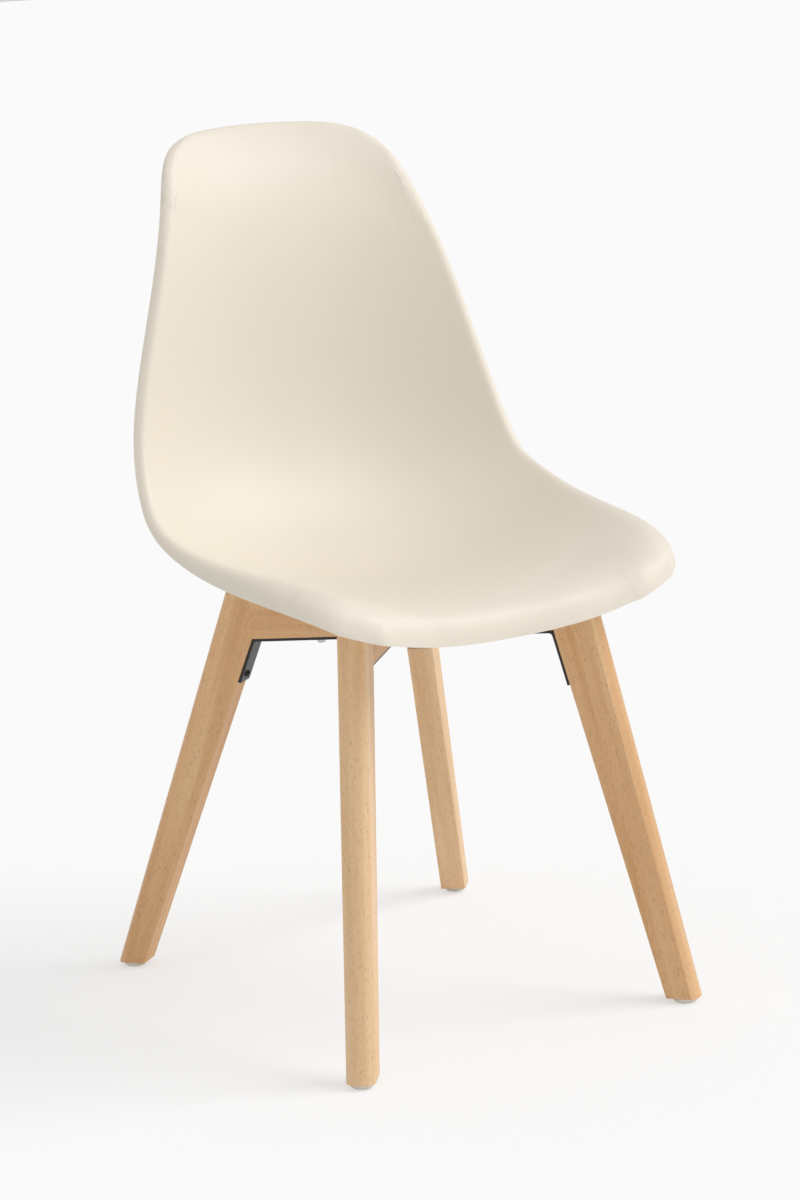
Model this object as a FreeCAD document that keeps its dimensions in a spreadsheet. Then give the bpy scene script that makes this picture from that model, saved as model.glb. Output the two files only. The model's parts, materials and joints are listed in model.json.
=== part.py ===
import FreeCAD, Part
import math
import os
import Sketcher

# A side chair: one moulded polypropylene shell on a crossed beech frame.
# Four tapering legs stand at the ends of two rails that are half-lapped at the middle.
# A bent steel strip runs under each rail and a short way down the two legs at its ends.
# Frame: +Z up, the sitter faces -Y, the origin is on the floor under the middle of the box.
# All lengths are millimetres and all angles are degrees.

V = FreeCAD.Vector
doc = FreeCAD.newDocument("shell_chair")
size = doc.addObject("Spreadsheet::Sheet", "size")

driving_sizes = [
    # the timber frame, seen from above as an X
    ("cross_forward", 7.8, "the rails cross this far in front of the origin"),
    ("plan_half_angle", 39.5, "between each rail and the chair's middle plane"),
    ("front_rail_underside", 359.5, "height of a rail's lower face at the front leg"),
    ("rear_rail_underside", 344.0, "the same at the rear leg"),
    ("rail_height", 44.0, "depth of the rails"),
    ("timber_thickness", 26.0, "thickness of rails and legs"),
    # the legs: reach is measured from the crossing to a leg's flat inner face
    ("front_top_reach", 155.3, "front leg's inner face, level with the rails' top"),
    ("front_foot_reach", 260.9, "front leg's inner face at its lower end"),
    ("rear_top_reach", 121.2, "rear leg's inner face, level with the rails' top"),
    ("rear_foot_reach", 282.7, "rear leg's inner face at its lower end"),
    ("leg_top_width", 46.8, "leg, inner face to outer face, at the top"),
    ("leg_foot_width", 31.2, "the same at the lower end"),
    ("leg_rounding", 5.9, "how far the rounded outer face bulges"),
    ("edge_easing", 1.0, "easing of the timber's long edges"),
    # dowels between rails and legs
    ("dowel_diameter", 8.0, "fluted beech dowel"),
    ("dowel_depth", 20.0, "length of dowel in each piece"),
    ("dowel_spacing", 24.0, "between the two dowels of a joint"),
    ("dowel_clearance", 0.1, "glue gap round a dowel and at its end"),
    # steel strips under the rails
    ("brace_thickness", 3.0, "flat bar"),
    ("brace_width", 22.0, "flat bar"),
    ("front_brace_flange", 54.0, "length of strip on a front leg"),
    ("rear_brace_flange", 47.5, "length of strip on a rear leg"),
    ("brace_bend", 4.0, "inside radius of the bends"),
    ("brace_gap", 1.1, "between the two strips where they cross"),
    ("groove_depth", 1.2, "in the lower rail, over the strip that crosses it"),
    ("groove_clearance", 0.5, "from that strip's edges to the groove's sides"),
    ("joggle_half_length", 22.0, "set-down of the lower strip at the crossing"),
    ("joggle_ramp", 10.0, "length of each ramp of the set-down"),
    # wood screws through the strips into the legs
    ("screw_diameter", 4.0, "shank"),
    ("screw_length", 20.0, "below the head"),
    ("screw_head", 8.0, "head diameter"),
    ("screw_head_height", 2.6, "pan head"),
    ("screw_head_top", 5.6, "flat top of the head"),
    ("screw_tip", 0.7, "blunt tip"),
    ("screw_end_margin", 8.0, "screw to the end of the strip"),
    ("screw_clearance", 0.2, "round the shank in the strip"),
    # bolts that hold the shell
    ("bolt_reach", 72.0, "bolts from the crossing, along the rails"),
    ("bolt_diameter", 6.0, "thread"),
    ("bolt_head", 11.0, "button head diameter"),
    ("bolt_head_height", 3.3, "button head"),
    ("bolt_head_top", 6.6, "flat top of the head"),
    ("bolt_engagement", 8.0, "length of bolt in the insert"),
    ("bolt_clearance", 0.3, "round the bolt in strips and rails"),
    ("thread_clearance", 0.1, "round the bolt in the insert"),
    ("washer_diameter", 14.0, "outside"),
    ("washer_thickness", 1.2, "sheet"),
    # threaded inserts and the bosses that hold them
    ("insert_diameter", 9.0, "outside of the brass insert"),
    ("insert_length", 9.0, "insert"),
    ("insert_floor", 0.5, "room above the insert in its hole"),
    ("boss_diameter", 30.0, "bosses moulded under the seat"),
    # glides under the legs
    ("glide_height", 5.0, "height of the glide under the leg"),
    ("glide_diameter", 22.0, "outside"),
    ("glide_edge", 1.2, "bevel round the sole"),
    ("glide_recess", 2.2, "depth of the recess for the nail's head"),
    ("nail_diameter", 2.4, "shank"),
    ("nail_head", 7.0, "head diameter"),
    ("nail_head_height", 1.2, "head"),
    ("nail_length", 18.0, "length in the leg"),
    ("nail_clearance", 0.1, "round the nail in the glide"),
    # the shell: wall and the turned-down rim
    ("wall", 4.5, "thickness of the moulding"),
    ("front_rim_out", 36.1, "rim at the front edge, outwards"),
    ("front_rim_drop", 28.2, "rim at the front edge, downwards"),
    ("back_rim_out", 10.1, "rim round the back, outwards"),
    ("back_rim_drop", 10.3, "rim round the back, backwards"),
    ("rim_change", 282.1, "distance from the front over which the rim changes"),
    ("rim_softness", 1.5, "how slowly the rim starts to bend: 1 is a quarter of an ellipse"),
    # the shell's middle line: how far behind the crossing, and how far above the rails there
    ("front_edge_back", -190.6, "front edge"),
    ("front_edge_rise", 20.5, "front edge"),
    ("seat_front_back", -121.0, "front of the seat"),
    ("seat_front_rise", 22.6, "front of the seat"),
    ("seat_low_back", -25.0, "lowest place of the seat"),
    ("seat_low_rise", 13.9, "lowest place of the seat"),
    ("seat_rear_back", 57.0, "rear of the seat"),
    ("seat_rear_rise", 18.9, "rear of the seat"),
    ("bend_back", 116.0, "bend between seat and back"),
    ("bend_rise", 50.0, "bend between seat and back"),
    ("lumbar_back", 161.8, "lumbar"),
    ("lumbar_rise", 141.6, "lumbar"),
    ("upper_back", 158.6, "upper back"),
    ("upper_rise", 296.2, "upper back"),
    ("top_edge_back", 200.1, "top edge"),
    ("top_edge_rise", 423.1, "top edge"),
    # the dish across the shell: rise of the surface 200 mm from the middle line
    ("dish_front", 43.4, "at the front edge"),
    ("dish_seat", 40.4, "at the front of the seat"),
    ("dish_low", 53.6, "at the lowest place of the seat"),
    ("dish_bend", 60.1, "at the bend"),
    ("dish_lumbar", 62.7, "at the lumbar"),
    ("dish_upper", 65.3, "at the upper back"),
    ("dish_top", 74.7, "at the top edge"),
    ("dish_power", 2.3, "steepness of the dish towards the sides"),
    # the line where the rim starts, as distance along the surface and half width
    ("front_side_along", -2.1, "front edge, half way to the corner"),
    ("front_side_half_width", 75.5, "front edge, half way to the corner"),
    ("front_corner_along", -3.3, "start of the front corner"),
    ("front_corner_half_width", 130.0, "start of the front corner"),
    ("front_turn_along", -1.1, "middle of the front corner"),
    ("front_turn_half_width", 146.0, "middle of the front corner"),
    ("thigh_along", 76.4, "side of the seat's front"),
    ("thigh_half_width", 179.5, "side of the seat's front"),
    ("hip_along", 233.8, "widest place"),
    ("hip_half_width", 204.5, "widest place"),
    ("waist_along", 319.1, "side of the bend"),
    ("waist_half_width", 198.6, "side of the bend"),
    ("rib_along", 456.6, "side of the back"),
    ("rib_half_width", 181.1, "side of the back"),
    ("shoulder_along", 614.0, "side of the upper back"),
    ("shoulder_half_width", 133.0, "side of the upper back"),
    ("top_turn_along", 643.5, "middle of the top corner, first part"),
    ("top_turn_half_width", 122.8, "middle of the top corner, first part"),
    ("top_corner_along", 690.2, "end of the top corner"),
    ("top_corner_half_width", 94.9, "end of the top corner"),
    ("top_middle_along", 714.9, "top edge, on the middle line"),
]

for row, (alias, value, meaning) in enumerate(driving_sizes, start=1):
    size.set("A%d" % row, meaning)
    size.set("B%d" % row, str(value))
    size.setAlias("B%d" % row, alias)
doc.recompute()


def cell(alias):
    return float(size.get(alias))


def worth(expression):
    """the number that an expression gives now, for the first drawing of a sketch"""
    found = size.evalExpression(expression)
    return float(getattr(found, "Value", found))


# Derived lengths, written as expressions so that every piece follows the same cells.
HALF_THICKNESS = "(size.timber_thickness / 2)"


def timber_top(end):
    """height of leg and rail at their top, where they meet"""
    return "(size.%s_rail_underside + size.rail_height)" % end


def leg_rise(end):
    return "(%s - size.glide_height)" % timber_top(end)


def run_out(end):
    return "(size.%s_foot_reach - size.%s_top_reach)" % (end, end)


def corner_reach(end):
    """from the crossing to the inner corner where leg and rail meet"""
    return "(size.%s_top_reach + %s * size.rail_height / %s)" % (end, run_out(end), leg_rise(end))


def lean(end):
    """how far a leg's inner face leans from upright"""
    return "atan(%s / %s)" % (run_out(end), leg_rise(end))


# The rails slope down to the rear. Along a rail, +X runs from the crossing to the front leg.
RAIL_CLIMB = "((size.front_rail_underside - size.rear_rail_underside) / (%s + %s))" % (
    corner_reach("front"), corner_reach("rear"))
RAIL_SLOPE = "atan(%s)" % RAIL_CLIMB
RAIL_DEPTH = "(size.rail_height * cos(%s))" % RAIL_SLOPE


def underside(place):
    """height of a rail's lower face at a place along it"""
    return "(size.rear_rail_underside + (%s + %s) * %s)" % (corner_reach("rear"), place, RAIL_CLIMB)


MID_LAP = "(%s + size.rail_height / 2)" % underside("0")


def origin_plane(body, role):
    return next(plane for plane in body.Origin.OriginFeatures if plane.Role == role)


def sketch_on(body, role, name, offset="0"):
    sketch = body.newObject("Sketcher::SketchObject", name)
    sketch.AttachmentSupport = [(origin_plane(body, role), "")]
    sketch.MapMode = "FlatFace"
    sketch.setExpression("AttachmentOffset.Base.z", offset)
    return sketch


def bind(sketch, kind, place, expression):
    number = sketch.addConstraint(Sketcher.Constraint(kind, *place, worth(expression)))
    sketch.setExpression("Constraints[%d]" % number, expression)


def polygon(body, role, name, corners, offset="0"):
    """a closed outline whose corners are bound to expressions, one (across, up) pair each"""
    sketch = sketch_on(body, role, name, offset)
    places = [V(worth(across), worth(up), 0) for across, up in corners]
    count = len(places)
    for i in range(count):
        sketch.addGeometry(Part.LineSegment(places[i], places[(i + 1) % count]), False)
    for i in range(count):
        sketch.addConstraint(Sketcher.Constraint("Coincident", i, 2, (i + 1) % count, 1))
    for i, (across, up) in enumerate(corners):
        bind(sketch, "DistanceX", (i, 1), across)
        bind(sketch, "DistanceY", (i, 1), up)
    return sketch


def pad(body, sketch, name, length):
    """a pad to both sides of the sketch"""
    feature = body.newObject("PartDesign::Pad", name)
    feature.Profile = sketch
    feature.SideType = "Symmetric"
    feature.setExpression("Length", length)
    return feature


def placed(feature, places):
    """binds the places and turns of a feature to expressions"""
    for path, expression in places.items():
        feature.setExpression("AttachmentOffset." + path, expression)


def bore(body, name, radius, depth, across, up, turn="0", inward="0"):
    """a drilled hole: it starts at (across, inward, up), along +Z turned about +Y"""
    hole = body.newObject("PartDesign::SubtractiveCylinder", name)
    hole.AttachmentSupport = [(origin_plane(body, "XY_Plane"), "")]
    hole.MapMode = "FlatFace"
    hole.AttachmentOffset = FreeCAD.Placement(V(0, 0, 0), FreeCAD.Rotation(V(0, 1, 0), 1))
    hole.setExpression("Radius", radius)
    hole.setExpression("Height", depth)
    placed(hole, {"Base.x": across, "Base.y": inward, "Base.z": up, "Rotation.Angle": turn})
    return hole


def timber_placement(quarter_turn):
    """a piece drawn along +X from the crossing, turned to its place in the X"""
    return (
        "create(<<placement>>; create(<<vector>>; 0; -size.cross_forward; 0); "
        "create(<<rotation>>; create(<<vector>>; 0; 0; 1); %s))" % quarter_turn
    )


corners = {
    "front_right": ("front", "-90 - size.plan_half_angle"),
    "front_left": ("front", "-90 + size.plan_half_angle"),
    "rear_right": ("rear", "90 + size.plan_half_angle"),
    "rear_left": ("rear", "90 - size.plan_half_angle"),
}

DOWEL_HOLE = "(size.dowel_diameter / 2 + size.dowel_clearance)"
DOWEL_DEPTH = "(size.dowel_depth + size.dowel_clearance)"


def dowel_levels(end):
    middle = "size.%s_rail_underside + size.rail_height / 2" % end
    return ["(%s - size.dowel_spacing / 2)" % middle, "(%s + size.dowel_spacing / 2)" % middle]


def screw_place(end):
    """where the brace screw sits on the leg's inner face, as (across, up)"""
    along = "(size.%s_brace_flange - size.screw_end_margin)" % end
    across = "(%s + %s * sin(%s))" % (corner_reach(end), along, lean(end))
    up = "(size.%s_rail_underside - %s * cos(%s))" % (end, along, lean(end))
    return across, up


NEAR = 0.01


def eased_edges(body, base, name, wanted):
    """rounds the long edges whose middle points are wanted"""
    names = []
    for number, edge in enumerate(base.Shape.Edges, start=1):
        middle = edge.valueAt((edge.FirstParameter + edge.LastParameter) / 2)
        if wanted(middle):
            names.append("Edge%d" % number)
    rounding = body.newObject("PartDesign::Fillet", name)
    rounding.Base = (base, names)
    rounding.setExpression("Radius", "size.edge_easing")
    doc.recompute()
    if not rounding.Shape.Volume < base.Shape.Volume:
        raise ValueError("no edge of " + body.Label + " is eased")
    return rounding


# Legs: beech, tapering in width, flat inside and at the sides, rounded outside.
# The top is shouldered, so that the rail's square end meets it.
def leg_section(body, name, reach, width, height):
    sketch = sketch_on(body, "XY_Plane", name, height)
    side_end = "(%s + %s - size.leg_rounding)" % (reach, width)
    side_start = "(%s + size.edge_easing)" % reach
    half = HALF_THICKNESS
    flat = "(%s - size.edge_easing)" % HALF_THICKNESS
    places = [(side_end, "-" + half), (side_start, "-" + half), (reach, "-" + flat),
              (reach, flat), (side_start, half), (side_end, half)]
    spots = [V(worth(across), worth(up), 0) for across, up in places]
    for start, stop in zip(spots, spots[1:]):
        sketch.addGeometry(Part.LineSegment(start, stop), False)
    lines = len(spots) - 1
    crown = V(worth(side_end) + cell("leg_rounding"), 0, 0)
    sketch.addGeometry(Part.Arc(spots[0], crown, spots[-1]), False)
    for number in range(lines - 1):
        sketch.addConstraint(Sketcher.Constraint("Coincident", number, 2, number + 1, 1))
    sketch.addConstraint(Sketcher.Constraint("Coincident", lines, 1, 0, 1))
    sketch.addConstraint(Sketcher.Constraint("Coincident", lines, 2, lines - 1, 2))
    sketch.addConstraint(Sketcher.Constraint("PointOnObject", lines, 3, -1))
    for number, (across, up) in enumerate(places[:lines]):
        bind(sketch, "DistanceX", (number, 1), across)
        bind(sketch, "DistanceY", (number, 1), up)
    bind(sketch, "DistanceX", (lines - 1, 2), side_end)
    radius = "((%s ^ 2 + size.leg_rounding ^ 2) / (2 * size.leg_rounding))" % half
    bind(sketch, "Radius", (lines,), radius)
    return sketch


def leg(corner, end, turn):
    body = doc.addObject("PartDesign::Body", "leg_" + corner)
    foot_reach = "size.%s_foot_reach" % end
    top_reach = "size.%s_top_reach" % end
    foot = leg_section(body, "foot", foot_reach, "size.leg_foot_width", "size.glide_height")
    top = leg_section(body, "top", top_reach, "size.leg_top_width", timber_top(end))
    taper = body.newObject("PartDesign::AdditiveLoft", "taper")
    taper.Profile = foot
    taper.Sections = [top]
    taper.Ruled = True
    doc.recompute()
    shoulder_level = "size.%s_rail_underside" % end
    shoulder = polygon(body, "XZ_Plane", "shoulder", [
        ("0", shoulder_level),
        (corner_reach(end), shoulder_level),
        (corner_reach(end), timber_top(end) + " + 1"),
        ("0", timber_top(end) + " + 1"),
    ])
    doc.recompute()
    before = taper.Shape.Volume
    cut = body.newObject("PartDesign::Pocket", "shoulder_cut")
    cut.Profile = shoulder
    cut.SideType = "Symmetric"
    cut.setExpression("Length", "size.timber_thickness + 2")
    doc.recompute()
    if not cut.Shape.Volume < before:
        raise ValueError("the shoulder of " + body.Label + " cuts nothing")
    for number, level in enumerate(dowel_levels(end)):
        name = "dowel_hole_%d" % (number + 1)
        bore(body, name, DOWEL_HOLE, DOWEL_DEPTH, corner_reach(end), level, turn="90")
    across, up = screw_place(end)
    bore(body, "screw_hole", "size.screw_diameter / 2", "size.screw_length",
         across, up, turn="90 deg - " + lean(end))
    nail_across = "%s + size.leg_foot_width / 2" % foot_reach
    bore(body, "nail_hole", "size.nail_diameter / 2", "size.nail_length", nail_across,
         "size.glide_height")
    body.setExpression("Placement", timber_placement(turn))
    return body


BOLT_PLACES = {"front": "size.bolt_reach", "rear": "(-size.bolt_reach)"}
BOLT_HOLE = "size.bolt_diameter / 2 + size.bolt_clearance"


# Rails: two beech bars that cross, each cut half away at the crossing.
def cut_across(body, name, width, level, height, turn):
    """cuts a level slot through the crossing, along the other rail"""
    slot = body.newObject("PartDesign::SubtractiveBox", name)
    slot.AttachmentSupport = [(origin_plane(body, "XY_Plane"), "")]
    slot.MapMode = "FlatFace"
    slot.AttachmentOffset = FreeCAD.Placement(V(0, 0, 0), FreeCAD.Rotation(V(0, 0, 1), 1))
    length = "(4 * size.timber_thickness)"
    slot.setExpression("Length", length)
    slot.setExpression("Width", width)
    slot.setExpression("Height", height)
    names = {"length": length, "width": width, "turn": turn}
    placed(slot, {
        "Base.x": "-%(length)s / 2 * cos(%(turn)s) + %(width)s / 2 * sin(%(turn)s)" % names,
        "Base.y": "-%(length)s / 2 * sin(%(turn)s) - %(width)s / 2 * cos(%(turn)s)" % names,
        "Base.z": level,
        "Rotation.Angle": turn,
    })
    doc.recompute()


def rail(name, front_corner, lap_from, other_turn, groove):
    end, turn = corners[front_corner]
    body = doc.addObject("PartDesign::Body", name)
    rear_end = "-" + corner_reach("rear")
    outline = polygon(body, "XZ_Plane", "outline", [
        (rear_end, "size.rear_rail_underside"),
        (corner_reach("front"), "size.front_rail_underside"),
        (corner_reach("front"), timber_top("front")),
        (rear_end, timber_top("rear")),
    ])
    square_bar = pad(body, outline, "square_bar", "size.timber_thickness")
    doc.recompute()
    bar = eased_edges(body, square_bar, "eased_edges", lambda middle: (
        abs(middle.y) > NEAR and abs(middle.x) < worth(corner_reach("rear")) - NEAR))
    cut_across(body, "half_lap", "size.timber_thickness", lap_from, "size.rail_height", other_turn)
    if groove:
        cut_across(body, "strip_groove", "(size.brace_width + 2 * size.groove_clearance)",
                   underside("0") + " - size.rail_height", "size.rail_height + size.groove_depth",
                   other_turn)
    if not body.Shape.Volume < bar.Shape.Volume:
        raise ValueError("the half lap of " + name + " cuts nothing")
    starts = {"front": "%s - %s" % (corner_reach("front"), DOWEL_DEPTH), "rear": rear_end}
    for side, start in starts.items():
        for number, level in enumerate(dowel_levels(side)):
            name_of_hole = "%s_dowel_hole_%d" % (side, number + 1)
            bore(body, name_of_hole, DOWEL_HOLE, DOWEL_DEPTH, start, level, turn="90")
    for side, place in BOLT_PLACES.items():
        bore(body, side + "_bolt_hole", BOLT_HOLE, "size.rail_height", place,
             underside(place), turn="-" + RAIL_SLOPE)
    body.setExpression("Placement", timber_placement(turn))
    return body


# Braces: flat bars bent down at both ends, one under each rail.
# Where they cross, one is set down by the other's thickness.
def flange(end, sign):
    """outer end, outer corner, inner corner and inner end of one turned-down end"""
    thick = "size.brace_thickness"
    length = "size.%s_brace_flange" % end
    tilt = lean(end)
    slope = RAIL_SLOPE if end == "front" else "(-%s)" % RAIL_SLOPE
    reach = corner_reach(end)
    level = "size.%s_rail_underside" % end
    out_x = "(%s + %s * sin(%s))" % (reach, length, tilt)
    out_z = "(%s - %s * cos(%s))" % (level, length, tilt)
    in_x = "(%s - %s * cos(%s))" % (out_x, thick, tilt)
    in_z = "(%s - %s * sin(%s))" % (out_z, thick, tilt)
    mitre = "%s / (1 + sin(%s - %s))" % (thick, tilt, slope)
    fold_x = "(%s + %s * (sin(%s) - cos(%s)))" % (reach, mitre, slope, tilt)
    fold_z = "(%s - %s * (cos(%s) + sin(%s)))" % (level, mitre, slope, tilt)
    return [(sign + out_x, out_z), (sign + reach, level), (sign + fold_x, fold_z),
            (sign + in_x, in_z)]


def brace(name, front_corner, set_down):
    end, turn = corners[front_corner]
    body = doc.addObject("PartDesign::Body", name)
    thick = "size.brace_thickness"
    front_out, front_top, front_fold, front_in = flange("front", "")
    rear_out, rear_top, rear_fold, rear_in = flange("rear", "-")
    upper, lower = [], []
    if set_down:
        drop = "(size.brace_thickness + size.brace_gap)"
        flat = "size.joggle_half_length"
        ramp_end = "(size.joggle_half_length + size.joggle_ramp)"
        steps = ((ramp_end, "0"), (flat, drop), ("(-%s)" % flat, drop), ("(-%s)" % ramp_end, "0"))
        for place, sink in steps:
            top = "(%s - %s)" % (underside(place), sink)
            upper.append((place, top))
            lower.append((place, "(%s - %s / cos(%s))" % (top, thick, RAIL_SLOPE)))
    points = [front_out, front_top] + upper + [rear_top, rear_out]
    points += [rear_in, rear_fold] + lower[::-1] + [front_fold, front_in]
    outline = polygon(body, "XZ_Plane", "outline", points)
    strip = pad(body, outline, "strip", "size.brace_width")
    doc.recompute()

    def bend(feature_name, base, corners_of_bend, radius):
        names = []
        for number, edge in enumerate(base.Shape.Edges, start=1):
            ends = [vertex.Point for vertex in edge.Vertexes]
            if len(ends) != 2 or abs(ends[0].y - ends[1].y) < cell("brace_width") / 2:
                continue
            for x, z in corners_of_bend:
                if math.hypot(ends[0].x - worth(x), ends[0].z - worth(z)) < 0.01:
                    names.append("Edge%d" % number)
        fillet = body.newObject("PartDesign::Fillet", feature_name)
        fillet.Base = (base, names)
        fillet.setExpression("Radius", radius)
        doc.recompute()
        return fillet

    inner = bend("inner_bends", strip, [front_fold, rear_fold], "size.brace_bend")
    bend("outer_bends", inner, [front_top, rear_top], "size.brace_bend + size.brace_thickness")
    depth = "(3 * size.brace_thickness)"
    for side, sign in (("front", ""), ("rear", "-")):
        across, up = screw_place(side)
        start_x = "(%s - %s / 2 * cos(%s))" % (across, depth, lean(side))
        start_z = "(%s - %s / 2 * sin(%s))" % (up, depth, lean(side))
        tilt = "90 deg - " + lean(side)
        bore(body, side + "_screw_hole", "size.screw_diameter / 2 + size.screw_clearance",
             depth, sign + start_x, start_z, turn=tilt if side == "front" else "-(%s)" % tilt)
    for side, place in BOLT_PLACES.items():
        bore(body, side + "_bolt_hole", BOLT_HOLE, depth,
             "%s + %s / 2 * sin(%s)" % (place, depth, RAIL_SLOPE),
             "%s - %s / 2 * cos(%s)" % (underside(place), depth, RAIL_SLOPE),
             turn="-" + RAIL_SLOPE)
    body.setExpression("Placement", timber_placement(turn))
    return body


# Glides: soft plastic discs, each nailed under a leg through a recess in its sole.
def glide(corner, end, turn):
    body = doc.addObject("PartDesign::Body", "glide_" + corner)
    rim = "size.glide_diameter / 2"
    hole = "(size.nail_diameter / 2 + size.nail_clearance)"
    recess = "(size.nail_head / 2 + size.nail_clearance)"
    half = polygon(body, "XZ_Plane", "half_section", [
        (hole, "size.glide_recess"),
        (recess, "size.glide_recess"),
        (recess, "0"),
        (rim + " - size.glide_edge", "0"),
        (rim, "size.glide_edge"),
        (rim, "size.glide_height"),
        (hole, "size.glide_height"),
    ])
    disc = body.newObject("PartDesign::Revolution", "disc")
    disc.Profile = half
    disc.ReferenceAxis = (half, ["V_Axis"])
    disc.Angle = 360
    place = "create(<<placement>>; create(<<vector>>; %s; 0; 0); create(<<rotation>>; " \
        "create(<<vector>>; 0; 0; 1); 0))" % foot_middle(end)
    body.setExpression("Placement", "%s * %s" % (timber_placement(turn), place))
    return body


def foot_middle(end):
    return "(size.%s_foot_reach + size.leg_foot_width / 2)" % end


for corner, (end, turn) in corners.items():
    leg(corner, end, turn)
    glide(corner, end, turn)
rail("cross_rail_lower", "front_right", MID_LAP, "2 * size.plan_half_angle", True)
rail("cross_rail_upper", "front_left", MID_LAP + " - size.rail_height",
     "-2 * size.plan_half_angle", False)
brace("brace_strip_upper", "front_left", False)
brace("brace_strip_lower", "front_right", True)


# Fasteners: simple turned pieces, all alike in a group.
def turned(kind, name, sizes, turn, across, up, tilt="0", along="0"):
    """one cylinder or cone on its leg's or rail's line; along moves it on its own axis"""
    piece = doc.addObject("Part::" + kind, name)
    for property_name, expression in sizes.items():
        piece.setExpression(property_name, expression)
    place = "create(<<placement>>; create(<<vector>>; %s; 0; %s); create(<<rotation>>; " \
        "create(<<vector>>; 0; 1; 0); %s))" % (across, up, tilt)
    shift = "create(<<placement>>; create(<<vector>>; 0; 0; %s); create(<<rotation>>; " \
        "create(<<vector>>; 0; 0; 1); 0))" % along
    piece.setExpression("Placement", "%s * %s * %s" % (timber_placement(turn), place, shift))
    return piece


def together(name, pieces, without=None):
    group = doc.addObject("Part::MultiFuse", name if without is None else name + "_outside")
    group.Shapes = pieces
    if without is None:
        return group
    inside = doc.addObject("Part::MultiFuse", name + "_inside")
    inside.Shapes = without
    cut = doc.addObject("Part::Cut", name)
    cut.Base = group
    cut.Tool = inside
    return cut


dowels = []
screws = []
nails = []
for corner, (end, turn) in corners.items():
    for number, level in enumerate(dowel_levels(end)):
        dowels.append(turned("Cylinder", "dowel_%s_%d" % (corner, number + 1), {
            "Radius": "size.dowel_diameter / 2",
            "Height": "2 * size.dowel_depth",
        }, turn, "(%s - size.dowel_depth)" % corner_reach(end), level, tilt="90"))
    across, up = screw_place(end)
    tilt = "90 deg - " + lean(end)
    point = "size.screw_diameter"
    screws.append(turned("Cylinder", "screw_shank_" + corner, {
        "Radius": "size.screw_diameter / 2",
        "Height": "size.screw_length - %s + size.brace_thickness" % point,
    }, turn, across, up, tilt, along="-size.brace_thickness"))
    screws.append(turned("Cone", "screw_point_" + corner, {
        "Radius1": "size.screw_diameter / 2",
        "Radius2": "size.screw_tip / 2",
        "Height": point,
    }, turn, across, up, tilt, along="size.screw_length - " + point))
    screws.append(turned("Cone", "screw_head_" + corner, {
        "Radius1": "size.screw_head_top / 2",
        "Radius2": "size.screw_head / 2",
        "Height": "size.screw_head_height",
    }, turn, across, up, tilt, along="-size.brace_thickness - size.screw_head_height"))
    nails.append(turned("Cylinder", "nail_shank_" + corner, {
        "Radius": "size.nail_diameter / 2",
        "Height": "size.nail_length + size.glide_height - size.glide_recess",
    }, turn, foot_middle(end), "size.glide_recess"))
    nails.append(turned("Cylinder", "nail_head_" + corner, {
        "Radius": "size.nail_head / 2",
        "Height": "size.nail_head_height",
    }, turn, foot_middle(end), "size.glide_recess - size.nail_head_height"))
together("leg_dowels", dowels)
together("brace_screws", screws)
together("glide_nails", nails)

bolts = []
washer_discs = []
washer_holes = []
insert_sleeves = []
insert_bores = []
BELOW_WASHER = "(size.brace_thickness + size.washer_thickness)"
for rail_name, front_corner in (("lower", "front_right"), ("upper", "front_left")):
    turn = corners[front_corner][1]
    for side, reach in BOLT_PLACES.items():
        place = "%s_%s" % (rail_name, side)

        def on_bolt_line(kind, name, sizes, along):
            return turned(kind, "%s_%s" % (name, place), sizes, turn, reach, underside(reach),
                          "-" + RAIL_SLOPE, along)

        washer_discs.append(on_bolt_line("Cylinder", "washer", {
            "Radius": "size.washer_diameter / 2",
            "Height": "size.washer_thickness",
        }, "-" + BELOW_WASHER))
        washer_holes.append(on_bolt_line("Cylinder", "washer_hole", {
            "Radius": BOLT_HOLE,
            "Height": "size.washer_thickness",
        }, "-" + BELOW_WASHER))
        bolts.append(on_bolt_line("Cylinder", "bolt_shank", {
            "Radius": "size.bolt_diameter / 2",
            "Height": "%s + %s + size.bolt_engagement" % (BELOW_WASHER, RAIL_DEPTH),
        }, "-" + BELOW_WASHER))
        bolts.append(on_bolt_line("Cone", "bolt_head", {
            "Radius1": "size.bolt_head_top / 2",
            "Radius2": "size.bolt_head / 2",
            "Height": "size.bolt_head_height",
        }, "-%s - size.bolt_head_height" % BELOW_WASHER))
        insert_sleeves.append(on_bolt_line("Cylinder", "insert", {
            "Radius": "size.insert_diameter / 2",
            "Height": "size.insert_length",
        }, RAIL_DEPTH))
        insert_bores.append(on_bolt_line("Cylinder", "insert_bore", {
            "Radius": "size.bolt_diameter / 2 + size.thread_clearance",
            "Height": "size.insert_length",
        }, RAIL_DEPTH))
together("seat_bolts", bolts)
together("bolt_washers", washer_discs, washer_holes)
together("shell_inserts", insert_sleeves, insert_bores)
doc.recompute()


# The shell. Its sitting surface is given by a middle line and a dish across it.
# A place on it is written as a distance along the middle line and a distance across.
middle_line_names = ["front_edge", "seat_front", "seat_low", "seat_rear", "bend", "lumbar",
                     "upper", "top_edge"]
rails_top = worth(underside("0") + " + size.rail_height")
middle_places = [V(0, cell(n + "_back"), rails_top + cell(n + "_rise")) for n in middle_line_names]
stations = [0.0]
for before, after in zip(middle_places, middle_places[1:]):
    stations.append(stations[-1] + (after - before).Length)
middle_line = Part.BSplineCurve()
middle_line.interpolate(Points=middle_places, Parameters=stations)

dish_names = ["dish_front", "dish_seat", "dish_low", "dish_bend", "dish_lumbar", "dish_upper",
              "dish_top"]
dish_shares = [0.0, 0.12, 0.30, 0.45, 0.60, 0.80, 1.0]
dish_law = Part.BSplineCurve()
dish_law.interpolate(
    Points=[V(share * stations[-1], cell(name), 0) for share, name in zip(dish_shares, dish_names)],
    Parameters=[share * stations[-1] for share in dish_shares],
)
DISH_HALF_WIDTH = 200.0


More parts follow.
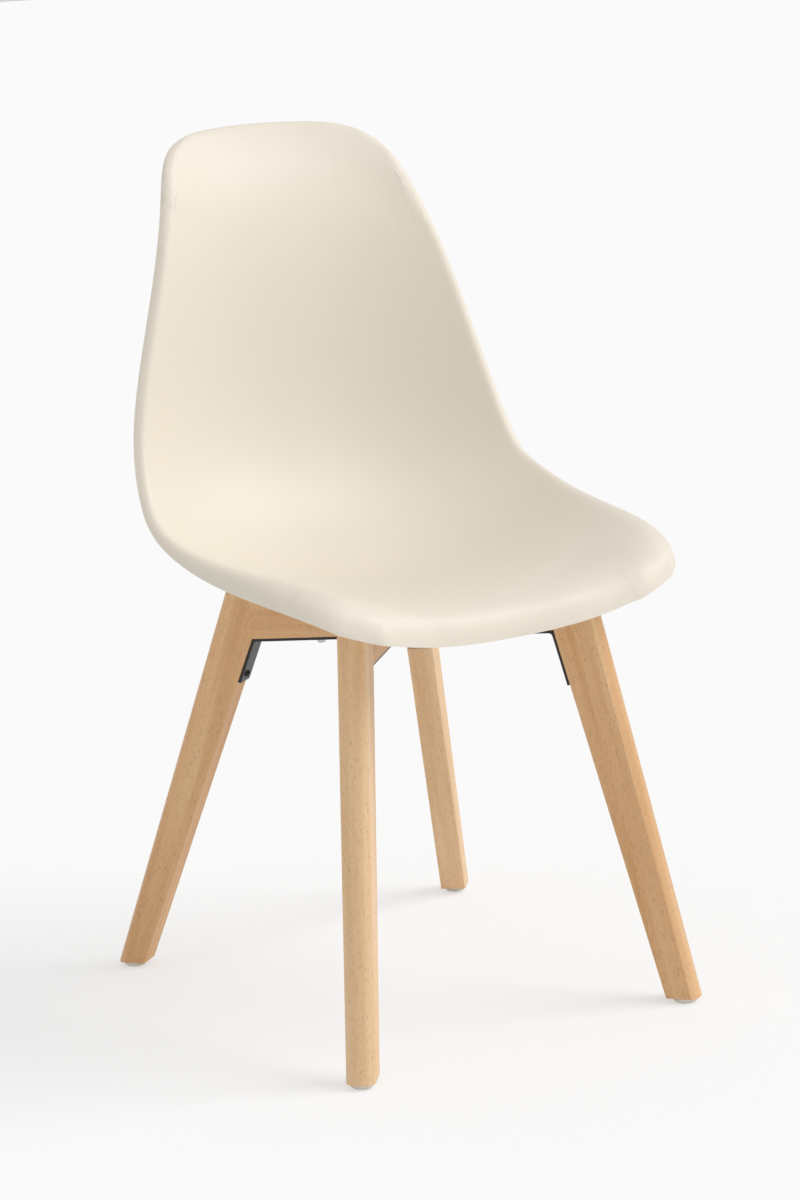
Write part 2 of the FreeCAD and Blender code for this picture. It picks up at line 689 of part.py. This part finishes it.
def moulded(along, across):
    """the place on the sitting surface; past its ends the middle line runs on straight"""
    inside = min(max(along, 0.0), stations[-1])
    way = middle_line.tangent(inside)[0]
    base = middle_line.value(inside) + way * (along - inside)
    towards_sitter = V(0, -way.z, way.y)
    share = abs(across) / DISH_HALF_WIDTH
    rise = dish_law.value(inside).y * share ** cell("dish_power")
    return V(across, base.y, base.z) + towards_sitter * rise


def facing(along, across, step=0.5):
    """the surface's normal, towards the sitter"""
    sideways = moulded(along, across + step) - moulded(along, across - step)
    upwards = moulded(along + step, across) - moulded(along - step, across)
    return sideways.cross(upwards).normalize()


# The rim line: where the sitting surface ends and the rim starts to turn down.
rim_names = ["front_side", "front_corner", "front_turn", "thigh", "hip", "waist", "rib",
             "shoulder", "top_turn", "top_corner"]
left_side = [V(cell(n + "_along"), cell(n + "_half_width"), 0) for n in rim_names]
front_middle = V(0, 0, 0)
top_middle = V(cell("top_middle_along"), 0, 0)
right_side = [V(p.x, -p.y, 0) for p in reversed(left_side)]
rim_points = [front_middle] + left_side + [top_middle] + right_side
marks = [0.0]
for here, there in zip(rim_points, rim_points[1:] + rim_points[:1]):
    marks.append(marks[-1] + math.sqrt((there - here).Length))
rim_line = Part.BSplineCurve()
rim_line.interpolate(Points=rim_points, PeriodicFlag=True, Parameters=marks)

# The rim line is split at its four corners into front, left, top and right stretches.
front_left_mark = marks[1 + rim_names.index("front_turn")]
top_left_mark = marks[1 + rim_names.index("top_turn")]
whole = marks[-1]
ACROSS_STEPS = 14
ALONG_STEPS = 26


def stretch(start, stop, steps):
    return [rim_line.value((start + (stop - start) * i / steps) % whole) for i in range(steps + 1)]


front_edge = stretch(-front_left_mark, front_left_mark, ACROSS_STEPS)
left_edge = stretch(front_left_mark, top_left_mark, ALONG_STEPS)
top_edge = stretch(whole - top_left_mark, top_left_mark, ACROSS_STEPS)
right_edge = stretch(whole - front_left_mark, whole - top_left_mark, ALONG_STEPS)


def flat_place(i, j):
    """a place inside the rim line, blended from the four stretches"""
    s = i / ACROSS_STEPS
    t = j / ALONG_STEPS
    sides = right_edge[j] * (1 - s) + left_edge[j] * s
    ends = front_edge[i] * (1 - t) + top_edge[i] * t
    low = front_edge[0] * (1 - s) + front_edge[-1] * s
    high = top_edge[0] * (1 - s) + top_edge[-1] * s
    return sides + ends - (low * (1 - t) + high * t)


def spline_through(points):
    curve = Part.BSplineCurve()
    curve.interpolate(Points=points, Parameters=[float(i) for i in range(len(points))])
    return curve


def skin(rows):
    """a smooth surface through a grid of points; grids that share an edge row share the edge"""
    along_rows = [spline_through(row) for row in rows]
    columns = zip(*[curve.getPoles() for curve in along_rows])
    across_rows = [spline_through(list(column)) for column in columns]
    poles = [list(line) for line in zip(*[curve.getPoles() for curve in across_rows])]
    u_curve, v_curve = across_rows[0], along_rows[0]
    surface = Part.BSplineSurface()
    surface.buildFromPolesMultsKnots(
        poles, u_curve.getMultiplicities(), v_curve.getMultiplicities(),
        u_curve.getKnots(), v_curve.getKnots(), False, False, u_curve.Degree, v_curve.Degree)
    return surface.toShape()


def strip_between(first, second):
    """the narrow flat edge between two rows of points"""
    surface = Part.BSplineSurface()
    one, other = spline_through(first), spline_through(second)
    surface.buildFromPolesMultsKnots(
        [one.getPoles(), other.getPoles()], [2, 2], one.getMultiplicities(),
        [0.0, 1.0], one.getKnots(), False, False, 1, one.Degree)
    return surface.toShape()


wall = cell("wall")
field = [[flat_place(i, j) for j in range(ALONG_STEPS + 1)] for i in range(ACROSS_STEPS + 1)]
upper_rows = [[moulded(p.x, p.y) for p in row] for row in field]
under_rows = [[moulded(p.x, p.y) - facing(p.x, p.y) * wall for p in row] for row in field]
faces = [skin(upper_rows), skin(under_rows)]

ROLL_STEPS = 5


def eased(share):
    share = min(max(share, 0.0), 1.0)
    return share * share * (3 - 2 * share)


def rim_section(mark):
    """rows of the rim at one place of the rim line: outer turn, then inner turn"""
    place = rim_line.value(mark % whole)
    step = 0.01
    ahead = rim_line.value((mark + step) % whole)
    behind = rim_line.value((mark - step) % whole)
    start = moulded(place.x, place.y)
    normal = facing(place.x, place.y)
    run = (moulded(ahead.x, ahead.y) - moulded(behind.x, behind.y)).normalize()
    outward = run.cross(normal).normalize()
    change = eased(place.x / cell("rim_change"))
    out = cell("front_rim_out") * (1 - change) + cell("back_rim_out") * change
    drop = cell("front_rim_drop") * (1 - change) + cell("back_rim_drop") * change
    outer, inner = [], []
    for k in range(ROLL_STEPS + 1):
        angle = math.radians(90 * k / ROLL_STEPS)
        across = math.sin(angle)
        down = (1 - math.cos(angle)) ** cell("rim_softness")
        outer.append(start + outward * (out * across) - normal * (drop * down))
        inner.append(start - normal * wall + outward * ((out - wall) * across)
                     - normal * ((drop - wall) * down))
    return outer, inner


for start, stop, steps in (
    (-front_left_mark, front_left_mark, ACROSS_STEPS),
    (front_left_mark, top_left_mark, ALONG_STEPS),
    (whole - top_left_mark, top_left_mark, ACROSS_STEPS),
    (whole - front_left_mark, whole - top_left_mark, ALONG_STEPS),
):
    sections = [rim_section(start + (stop - start) * i / steps) for i in range(steps + 1)]
    outer_rows = [list(row) for row in zip(*[outer for outer, inner in sections])]
    inner_rows = [list(row) for row in zip(*[inner for outer, inner in sections])]
    faces.append(skin(outer_rows))
    faces.append(skin(inner_rows))
    faces.append(strip_between(outer_rows[-1], inner_rows[-1]))

skin_shell = Part.Shell(faces)
skin_shell.sewShape()
moulding = Part.Solid(skin_shell)
if moulding.Volume < 0:
    moulding.reverse()
if not skin_shell.isClosed():
    raise ValueError("the moulding's faces do not close")

# Bosses: moulded under the seat over each bolt, down to the top of the rails.
# Each starts as a tall pillar and loses what stands above the middle of the seat's wall.
AREA_STEPS = 12
area_half_width = DISH_HALF_WIDTH / 2
bend_station = stations[middle_line_names.index("bend")]
boss_area = []
for i in range(AREA_STEPS + 1):
    across = area_half_width * (2 * i / AREA_STEPS - 1)
    row = [bend_station * (j + 1) / (AREA_STEPS + 1) for j in range(AREA_STEPS + 1)]
    boss_area.append([moulded(s, across) - facing(s, across) * (wall / 2) for s in row])
pillar_height = max(place.z for row in boss_area for place in row) - rails_top + wall
above_middle = skin(boss_area).extrude(V(0, 0, 2 * pillar_height))
slope = math.radians(worth(RAIL_SLOPE))
bosses = []
holes = []
for front_corner in ("front_right", "front_left"):
    heading = math.radians(worth(corners[front_corner][1]))
    along_rail = V(math.cos(heading), math.sin(heading), 0)
    off_rail = V(0, 0, math.cos(slope)) - along_rail * math.sin(slope)
    for place in BOLT_PLACES.values():
        foot = along_rail * worth(place) + V(0, 0, worth(underside(place)))
        foot += off_rail * worth(RAIL_DEPTH)
        pillar = Part.makeCylinder(cell("boss_diameter") / 2, pillar_height, foot, off_rail)
        bosses.append(pillar.cut(above_middle))
        depth = cell("insert_length") + cell("insert_floor")
        holes.append(Part.makeCylinder(cell("insert_diameter") / 2, depth, foot, off_rail))
moulding = moulding.fuse(bosses).cut(holes)
if len(moulding.Solids) != 1:
    raise ValueError("the shell is not one piece")
seat_shell = doc.addObject("Part::Feature", "seat_shell")
seat_shell.Shape = moulding.Solids[0]
seat_shell.Placement = FreeCAD.Placement(V(0, -cell("cross_forward"), 0), FreeCAD.Rotation())
doc.recompute()

nodes = ["seat_shell"]
nodes += ["leg_" + corner for corner in corners]
nodes += ["glide_" + corner for corner in corners]
nodes += ["cross_rail_lower", "cross_rail_upper", "brace_strip_lower", "brace_strip_upper"]
nodes += ["leg_dowels", "brace_screws", "seat_bolts", "bolt_washers", "shell_inserts",
          "glide_nails"]

for item in doc.Objects:
    if "Invalid" in item.State or "Error" in item.State:
        raise ValueError("%s did not build: %s" % (item.Label, item.State))
os.makedirs("parts", exist_ok=True)
whole_box = FreeCAD.BoundBox()
for name in nodes:
    piece = doc.getObject(name)
    if piece.Shape.isNull() or not piece.Shape.isValid():
        raise ValueError("%s has no valid shape" % name)
    whole_box.add(piece.Shape.BoundBox)
    piece.Shape.exportStep("parts/%s.step" % name)
    print(name, len(piece.Shape.Solids), "solids", round(piece.Shape.Volume / 1000, 2), "cm3")
print("box", whole_box)
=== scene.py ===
import json
import math

import bpy
from mathutils import Matrix, Vector

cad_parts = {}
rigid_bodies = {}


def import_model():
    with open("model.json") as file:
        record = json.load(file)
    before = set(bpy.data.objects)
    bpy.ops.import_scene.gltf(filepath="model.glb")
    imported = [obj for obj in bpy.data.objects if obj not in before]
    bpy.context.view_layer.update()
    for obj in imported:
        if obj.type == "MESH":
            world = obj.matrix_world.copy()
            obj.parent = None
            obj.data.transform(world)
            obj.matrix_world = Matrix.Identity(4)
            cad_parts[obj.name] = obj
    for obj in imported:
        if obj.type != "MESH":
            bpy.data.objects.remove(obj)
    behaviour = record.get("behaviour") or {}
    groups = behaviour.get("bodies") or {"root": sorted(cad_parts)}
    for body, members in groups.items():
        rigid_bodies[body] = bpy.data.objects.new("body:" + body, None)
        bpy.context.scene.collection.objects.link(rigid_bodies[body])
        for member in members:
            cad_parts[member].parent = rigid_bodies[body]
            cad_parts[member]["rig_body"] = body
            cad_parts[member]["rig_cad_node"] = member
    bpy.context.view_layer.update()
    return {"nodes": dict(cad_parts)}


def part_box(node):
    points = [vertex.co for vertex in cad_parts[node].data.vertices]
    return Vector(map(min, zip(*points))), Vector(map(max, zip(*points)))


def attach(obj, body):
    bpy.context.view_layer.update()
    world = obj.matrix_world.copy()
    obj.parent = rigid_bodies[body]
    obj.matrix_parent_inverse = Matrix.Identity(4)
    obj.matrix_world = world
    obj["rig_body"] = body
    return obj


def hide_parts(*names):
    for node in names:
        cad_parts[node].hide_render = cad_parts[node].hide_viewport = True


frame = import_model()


# Beech legs and rails
# Four tapering legs and the two half-lapped rails are planed beech under a clear matt lacquer.
# Each piece is cut along the grain, so its growth bands and ray flecks run along its own length.


def linear(hex_colour):
    """an sRGB hex colour as linear light, for a shader socket"""
    shares = [int(hex_colour[i:i + 2], 16) / 255 for i in (1, 3, 5)]
    light = [c / 12.92 if c <= 0.04045 else ((c + 0.055) / 1.055) ** 2.4 for c in shares]
    return (*light, 1.0)


def add(material, kind, settings=None, links=None):
    """adds a shader node with its settings, and links {socket name or number: (node, output)}"""
    node = material.node_tree.nodes.new("ShaderNode" + kind)
    for name, value in (settings or {}).items():
        if name == "stops":
            elements = node.color_ramp.elements
            elements.remove(elements[0])
            elements[0].position, elements[0].color = value[0]
            for place, colour in value[1:]:
                elements.new(place).color = colour
        elif name in node.inputs:
            node.inputs[name].default_value = value
        else:
            setattr(node, name, value)
    for socket, (source, output) in (links or {}).items():
        material.node_tree.links.new(source.outputs[output], node.inputs[socket])
    return node


def new_material(name):
    """a material with no nodes yet"""
    material = bpy.data.materials.new(name)
    material.use_nodes = True
    material.node_tree.nodes.clear()
    return material


def paint(node_name, material):
    """gives a whole CAD node one material"""
    piece = frame["nodes"][node_name]
    piece.data.materials.clear()
    piece.data.materials.append(material)


def scale_for(size_mm):
    """the scale at which a noise pattern's features are about size_mm across"""
    return 1000 / size_mm


# Growth bands show about 18 mm wide and 400 mm long on a planed face of beech.
# Its ray flecks are about 0.8 mm wide and 5 mm long.
BAND_WIDTH, BAND_LENGTH = 18, 400
FLECK_WIDTH, FLECK_LENGTH = 0.8, 5
FLECK_SHADE = "#8A5C38"
# Real fibres are finer than a picture shows, so they are drawn 1.4 mm wide.
FIBRE_WIDTH = 1.4


def beech(name, low_end, high_end, across_grain, shades):
    """planed, lacquered beech whose grain runs from low_end to high_end"""
    wood = new_material(name)
    grain_way = (high_end - low_end).normalized()
    side_way = across_grain.cross(grain_way).normalized()
    face_way = grain_way.cross(side_way)
    turn = Matrix((side_way, face_way, grain_way)).to_euler()
    place = add(wood, "TexCoord")
    turned = add(wood, "Mapping", {"vector_type": "POINT", "Rotation": turn},
                 {"Vector": (place, "Object")})
    # Growth bands give each face its slow change between paler and darker strips.
    stretched = add(wood, "Mapping", {"Scale": (1.0, 1.0, BAND_WIDTH / BAND_LENGTH)},
                    {"Vector": (turned, "Vector")})
    bands = add(wood, "TexNoise", {"Scale": scale_for(BAND_WIDTH), "Detail": 3.0, "Roughness": 0.55},
                {"Vector": (stretched, "Vector")})
    darkest, middle, palest = [linear(shade) for shade in shades]
    tone = add(wood, "ValToRGB", {"stops": [(0.25, darkest), (0.5, middle), (0.75, palest)]},
               {"Fac": (bands, "Fac")})
    # Ray flecks are what tells beech from other pale timbers.
    across, along = scale_for(FLECK_WIDTH), scale_for(FLECK_LENGTH)
    fleck_place = add(wood, "Mapping", {"Scale": (across, across, along)},
                      {"Vector": (turned, "Vector")})
    flecks = add(wood, "TexNoise", {"Scale": 1.0, "Detail": 1.0, "Roughness": 0.4},
                 {"Vector": (fleck_place, "Vector")})
    fleck_mask = add(wood, "MapRange", {"From Min": 0.62, "From Max": 0.7, "To Max": 0.35},
                     {"Value": (flecks, "Fac")})
    # A colour mix has its two colours in sockets 6 and 7, and its result in output 2.
    mixed = add(wood, "Mix", {"data_type": "RGBA"},
                {"Factor": (fleck_mask, "Result"), 6: (tone, "Color")})
    mixed.inputs[7].default_value = linear(FLECK_SHADE)
    # Fibres break up the lacquer's sheen.
    fibres = add(wood, "TexNoise", {"Scale": scale_for(FIBRE_WIDTH), "Detail": 2.0},
                 {"Vector": (stretched, "Vector")})
    relief = add(wood, "Bump", {"Strength": 0.25, "Distance": 0.0002}, {"Height": (fibres, "Fac")})
    lacquered = add(wood, "BsdfPrincipled", {"Roughness": 0.5, "IOR": 1.5},
                    {"Base Color": (mixed, 2), "Normal": (relief, "Normal")})
    add(wood, "OutputMaterial", None, {"Surface": (lacquered, "BSDF")})
    return wood


# Each board's darkest, middle and palest strips. The boards of two legs are painted paler than the rest,
# as painted light where those two legs stand in more light.
PAINTED_LIGHT_BOARD = ("#D5AB7C", "#E5C095", "#EED2AA")
OTHER_BOARDS = ("#C99862", "#DBAE7E", "#E8C798")
SOLE_ZONE, HEAD_ZONE = 0.01, 0.001
UPWARDS = Vector((0, 0, 1))

for side in ("front_right", "front_left", "rear_right", "rear_left"):
    corners = [vertex.co for vertex in frame["nodes"]["leg_" + side].data.vertices]
    top = max(corner.z for corner in corners)
    soles = [corner for corner in corners if corner.z < SOLE_ZONE]
    heads = [corner for corner in corners if corner.z > top - HEAD_ZONE]
    floor_end = sum(soles, Vector()) / len(soles)
    top_end = sum(heads, Vector()) / len(heads)
    # Painted light: the two legs that stand in more light get the paler boards.
    shades = PAINTED_LIGHT_BOARD if side in ("front_right", "rear_left") else OTHER_BOARDS
    across_leg = (top_end - floor_end).cross(UPWARDS)
    paint("leg_" + side, beech("beech_leg_" + side, floor_end, top_end, across_leg, shades))

# The rails run along the two diagonals of the frame.
for name, diagonal in (("cross_rail_lower", 1), ("cross_rail_upper", -1)):
    low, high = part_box(name)
    rail_way = Vector(((high.x - low.x) * diagonal, high.y - low.y, 0))
    paint(name, beech("beech_" + name, Vector(), rail_way, UPWARDS, OTHER_BOARDS))

# The dowels are hidden in their joints, so one way of the grain does for all eight.
# The dowels take the paler boards, whose tone is painted light.
paint("leg_dowels", beech("beech_dowels", Vector(), Vector((0, 1, 0)), UPWARDS, PAINTED_LIGHT_BOARD))


# Steel strips and screws
# Two flat bars are bent down at their ends and powder coated black.
# Black pan-head wood screws hold their ends to the legs.

black_coat = new_material("black_powder_coat")
place = add(black_coat, "TexCoord")
# Powder runs together into an orange peel of about 1.1 mm, which gives a low, uneven sheen.
peel = add(black_coat, "TexNoise", {"Scale": scale_for(1.1), "Detail": 1.0}, {"Vector": (place, "Object")})
peel_relief = add(black_coat, "Bump", {"Strength": 0.15, "Distance": 0.0002}, {"Height": (peel, "Fac")})
coat = add(black_coat, "BsdfPrincipled",
           {"Base Color": linear("#1C1512"), "Roughness": 0.38, "IOR": 1.5},
           {"Normal": (peel_relief, "Normal")})
add(black_coat, "OutputMaterial", None, {"Surface": (coat, "BSDF")})
for name in ("brace_strip_lower", "brace_strip_upper", "brace_screws"):
    paint(name, black_coat)


# Bolts, washers, inserts and nails
# Zinc-plated steel machine screws and washers hold the shell; brass sleeves are set in its bosses.
# All are turned or pressed, and bright.

for name, nodes, colour in (
    ("zinc_plate", ("seat_bolts", "bolt_washers", "glide_nails"), "#C9CBCC"),
    ("turned_brass", ("shell_inserts",), "#D0A95C"),
):
    metal = new_material(name)
    place = add(metal, "TexCoord")
    # Marks of the tool spread the highlights. Real ones are too fine to see, so these are 0.8 mm.
    marks = add(metal, "TexNoise", {"Scale": scale_for(0.8), "Detail": 2.0}, {"Vector": (place, "Object")})
    rough = add(metal, "MapRange", {"To Min": 0.25, "To Max": 0.42}, {"Value": (marks, "Fac")})
    bright = add(metal, "BsdfPrincipled", {"Base Color": linear(colour), "Metallic": 1.0},
                 {"Roughness": (rough, "Result")})
    add(metal, "OutputMaterial", None, {"Surface": (bright, "BSDF")})
    for node_name in nodes:
        paint(node_name, metal)


# Glides
# Milky polyethylene discs are nailed under the legs, through a recess in each sole.
# They are moulded, and light goes a little way into them.

milky = new_material("milky_polyethylene")
place = add(milky, "TexCoord")
# The plastic is a little cloudy, in patches of about 3 mm.
cloud = add(milky, "TexNoise", {"Scale": scale_for(3.3), "Detail": 2.0}, {"Vector": (place, "Object")})
cloud_tone = add(milky, "ValToRGB", {"stops": [(0.3, linear("#E2E0DA")), (0.7, linear("#EFEEEA"))]},
                 {"Fac": (cloud, "Fac")})
soft = add(milky, "BsdfPrincipled",
           {"Roughness": 0.45, "Subsurface Weight": 0.3, "Subsurface Scale": 0.003},
           {"Base Color": (cloud_tone, "Color")})
add(milky, "OutputMaterial", None, {"Surface": (soft, "BSDF")})
for side in ("front_right", "front_left", "rear_right", "rear_left"):
    paint("glide_" + side, milky)


# Shell
# The seat and back are one injection moulding of warm cream polypropylene, 4.5 mm thick.
# Its mould was finely blasted, which gives a matt skin with a broad soft sheen.

cream = new_material("moulded_polypropylene")
place = add(cream, "TexCoord")
# The blasting leaves a grain of 0.1 mm, too fine to see, so it is drawn 0.7 mm across.
grit = add(cream, "TexNoise", {"Scale": scale_for(0.7), "Detail": 2.0}, {"Vector": (place, "Object")})
grit_relief = add(cream, "Bump", {"Strength": 0.08, "Distance": 0.0002}, {"Height": (grit, "Fac")})
skin = add(cream, "BsdfPrincipled",
           {"Base Color": linear("#E8DFD0"), "Roughness": 0.48, "IOR": 1.49},
           {"Normal": (grit_relief, "Normal")})
add(cream, "OutputMaterial", None, {"Surface": (skin, "BSDF")})

# The moulding is the CAD shell's own mesh, with its loose triangles joined.
JOIN_WITHIN = 0.00002
bpy.ops.object.select_all(action="DESELECT")
shell = frame["nodes"]["seat_shell"].copy()
shell.data = frame["nodes"]["seat_shell"].data.copy()
shell.name = "moulded_shell"
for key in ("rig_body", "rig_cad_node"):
    del shell[key]
shell.parent = None
bpy.context.scene.collection.objects.link(shell)
shell.select_set(True)
bpy.context.view_layer.objects.active = shell
bpy.ops.object.mode_set(mode="EDIT")
bpy.ops.mesh.select_all(action="SELECT")
bpy.ops.mesh.remove_doubles(threshold=JOIN_WITHIN)
bpy.ops.mesh.customdata_custom_splitnormals_clear()
bpy.ops.object.mode_set(mode="OBJECT")
shell.data.materials.clear()
shell.data.materials.append(cream)

# The lip's two sharp edges are broken. The mesh's narrow faces hold the bevel to a hair, which
# is enough for the light to run round the edge.
edge_round = shell.modifiers.new("edge_round", "BEVEL")
edge_round.limit_method = "ANGLE"
edge_round.angle_limit = math.radians(50)
edge_round.width = 0.0013
edge_round.segments = 3
bpy.ops.object.modifier_apply(modifier="edge_round")
bpy.ops.object.shade_smooth_by_angle(angle=math.radians(35))

# The skin's shading flows evenly round its four corners, where the rim turns. It is taken there
# from a softened copy, so that the shell keeps its shape.
softened = shell.copy()
softened.data = shell.data.copy()
bpy.context.scene.collection.objects.link(softened)
low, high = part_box("seat_shell")
FRONT_CORNER, FRONT_REACH = Vector((0.16, -0.208, 0.418)), 0.1
TOP_CORNER, TOP_REACH = Vector((0.118, high.y - 0.05, high.z - 0.05)), 0.075
soft_zone = softened.vertex_groups.new(name="corners")
for vertex in softened.data.vertices:
    # The shell is mirrored about its middle plane, so each place stands for both sides.
    place = Vector((abs(vertex.co.x), vertex.co.y, vertex.co.z))
    front_share = 1 - (place - FRONT_CORNER).length / FRONT_REACH
    top_share = 1 - (place - TOP_CORNER).length / TOP_REACH
    weight = min(1.0, 2 * max(front_share, top_share))
    if weight > 0:
        soft_zone.add([vertex.index], weight, "REPLACE")
bpy.context.view_layer.objects.active = softened
flow = softened.modifiers.new("flow", "SMOOTH")
flow.factor = 0.5
flow.iterations = 70
flow.vertex_group = "corners"
bpy.ops.object.modifier_apply(modifier="flow")
bpy.context.view_layer.objects.active = shell
shading = shell.modifiers.new("shading", "DATA_TRANSFER")
shading.object = softened
shading.use_loop_data = True
shading.data_types_loops = {"CUSTOM_NORMAL"}
shading.loop_mapping = "TOPOLOGY"
bpy.ops.object.modifier_apply(modifier="shading")
bpy.data.objects.remove(softened)
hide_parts("seat_shell")
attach(shell, "root")


# Studio
# A pale seamless floor, a wide soft key light from the sitter's left, and even white surroundings.
# The camera stands at the photograph's place: a 90 mm lens, turned, tipped down and rolled.

FLOOR_WIDTH = 600
bpy.ops.object.select_all(action="DESELECT")
bpy.ops.mesh.primitive_plane_add(size=FLOOR_WIDTH, location=(0, 0, 0))
floor = bpy.context.object
floor.name = "studio_floor"
pale = new_material("pale_floor")
matt = add(pale, "BsdfDiffuse", {"Color": linear("#FAFAFA")})
# To the eye, and in the gloss of the pieces, the floor is part light of its own, so that it
# reads as white and the shadows on it stay faint.
seen = add(pale, "BsdfDiffuse", {"Color": linear("#B6B6B6")})
glow = add(pale, "Emission", {"Color": linear("#FFFFFF"), "Strength": 0.505})
lifted = add(pale, "AddShader", None, {0: (seen, "BSDF"), 1: (glow, "Emission")})
rays = add(pale, "LightPath")
seen_or_glossy = add(pale, "Math", {"operation": "MAXIMUM"},
                     {0: (rays, "Is Camera Ray"), 1: (rays, "Is Glossy Ray")})
seen_at_all = add(pale, "Math", {"operation": "MAXIMUM"},
                  {0: (seen_or_glossy, "Value"), 1: (rays, "Is Transmission Ray")})
choice = add(pale, "MixShader", None,
             {"Fac": (seen_at_all, "Value"), 1: (matt, "BSDF"), 2: (lifted, "Shader")})
add(pale, "OutputMaterial", None, {"Surface": (choice, "Shader")})
floor.data.materials.append(pale)

KEY_SHINES = Vector((-2.2, 1.5, -2.3))
bpy.ops.object.light_add(type="SUN", location=(3, -3, 5))
key = bpy.context.object
key.name = "key_light"
key.data.energy = 1.52
key.data.angle = math.radians(40)
key.rotation_euler = KEY_SHINES.to_track_quat("-Z", "Y").to_euler()

world = bpy.data.worlds.new("studio")
bpy.context.scene.world = world
world.use_nodes = True
background = world.node_tree.nodes["Background"]
background.inputs["Color"].default_value = linear("#FFFFFF")
background.inputs["Strength"].default_value = 0.65

HEADING, DOWN, ROLL = math.radians(-29.51), math.radians(11.86), math.radians(-3.41)
camera = bpy.data.objects.new("camera", bpy.data.cameras.new("camera"))
bpy.context.scene.collection.objects.link(camera)
camera.data.lens = 90
camera.data.sensor_width = 36
camera.data.clip_end = 2 * FLOOR_WIDTH
camera.location = (-1.3693, -2.4488, 0.9698)
camera.rotation_euler = (
    Matrix.Rotation(HEADING, 3, "Z")
    @ Matrix.Rotation(math.radians(90) - DOWN, 3, "X")
    @ Matrix.Rotation(ROLL, 3, "Z")
).to_euler()
bpy.context.scene.camera = camera
bpy.context.scene.view_settings.view_transform = "Standard"
